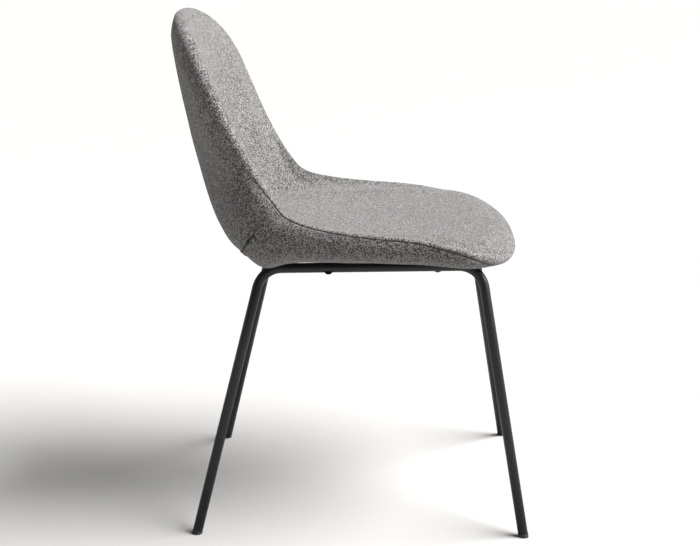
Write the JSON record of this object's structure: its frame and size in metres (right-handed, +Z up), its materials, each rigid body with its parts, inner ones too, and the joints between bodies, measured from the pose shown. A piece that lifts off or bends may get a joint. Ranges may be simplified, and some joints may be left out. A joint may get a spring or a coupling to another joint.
{
  "type": "dining chair",
  "caption": "Armless dining chair: a fabric-covered padded shell, seat and back in one, on two bent round-tube side hoops with splayed legs.",
  "frame": {"origin": "on the floor, below the middle of the chair's outer box", "axes": "+Z up, -Y to the front of the chair, +X to the sitter's left"},
  "size_m": [0.5026, 0.576, 0.8204],
  "materials": {
    "fabric": "grey melange woven upholstery cloth, matte",
    "foam": "moulded polyurethane foam, open cell, hidden",
    "plywood": "moulded birch plywood, unfinished, hidden",
    "black_cloth": "black non-woven cloth and zip tape, matte",
    "black_steel": "black powder coat, satin, fine texture",
    "black_plastic": "black moulded nylon, satin",
    "zinc": "zinc-plated steel"
  },
  "bodies": {
    "root": {"cover_front": "fabric", "cover_rear": "fabric", "foam_front": "foam", "foam_rear": "foam", "shell_board": "plywood", "dust_cover": "black_cloth", "cover_zip": "black_cloth", "side_hoop_left": "black_steel", "side_hoop_right": "black_steel", "cross_rail_front": "black_steel", "cross_rail_rear": "black_steel", "mount_plate_front_left": "black_steel", "mount_plate_front_right": "black_steel", "mount_plate_rear_left": "black_steel", "mount_plate_rear_right": "black_steel", "glide_front_right": "black_plastic", "glide_front_left": "black_plastic", "glide_rear_right": "black_plastic", "glide_rear_left": "black_plastic", "bolt_front_left": "zinc", "bolt_front_right": "zinc", "bolt_rear_left": "zinc", "bolt_rear_right": "zinc", "washer_front_left": "zinc", "washer_front_right": "zinc", "washer_rear_left": "zinc", "washer_rear_right": "zinc", "tee_nut_front_left": "zinc", "tee_nut_front_right": "zinc", "tee_nut_rear_left": "zinc", "tee_nut_rear_right": "zinc"}
  },
  "joints": []
}
